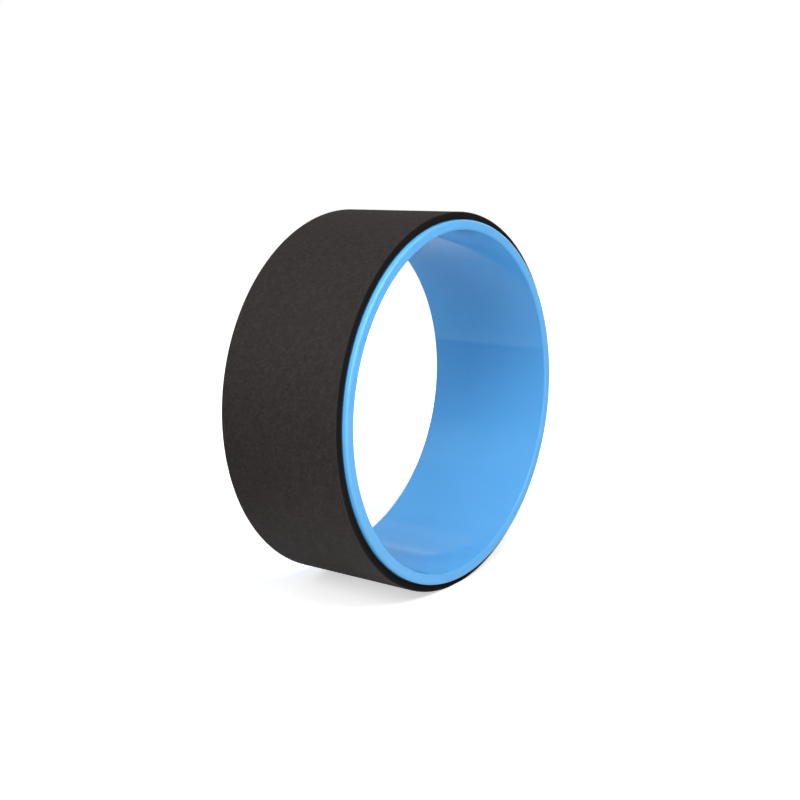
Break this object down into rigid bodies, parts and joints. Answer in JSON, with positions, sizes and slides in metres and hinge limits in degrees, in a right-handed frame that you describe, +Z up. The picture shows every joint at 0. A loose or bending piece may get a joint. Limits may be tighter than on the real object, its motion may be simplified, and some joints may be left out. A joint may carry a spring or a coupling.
{
  "type": "yoga wheel",
  "caption": "Wide plastic hoop with a textured foam pad glued round its outside, for back stretches and balance work; it stands on its tread or lies on its rim.",
  "frame": {"origin": "centre of the hoop, on its axis and midway between its rims", "axes": "+Z up with the wheel standing on its tread, +Y along the wheel's axis, away from the pictured rim, +X to the right of that rim"},
  "size_m": [0.33, 0.13, 0.3295],
  "materials": {
    "hoop_plastic": "glossy moulded sky-blue plastic",
    "adhesive": "dull dark contact adhesive",
    "foam": "cut edge of black closed-cell foam",
    "tread": "matt dark brown-grey embossed foam skin"
  },
  "bodies": {
    "root": {"hoop": "hoop_plastic", "adhesive_film": "adhesive", "foam_core": "foam", "tread_skin": "tread", "seam_glue": "adhesive"}
  },
  "joints": []
}
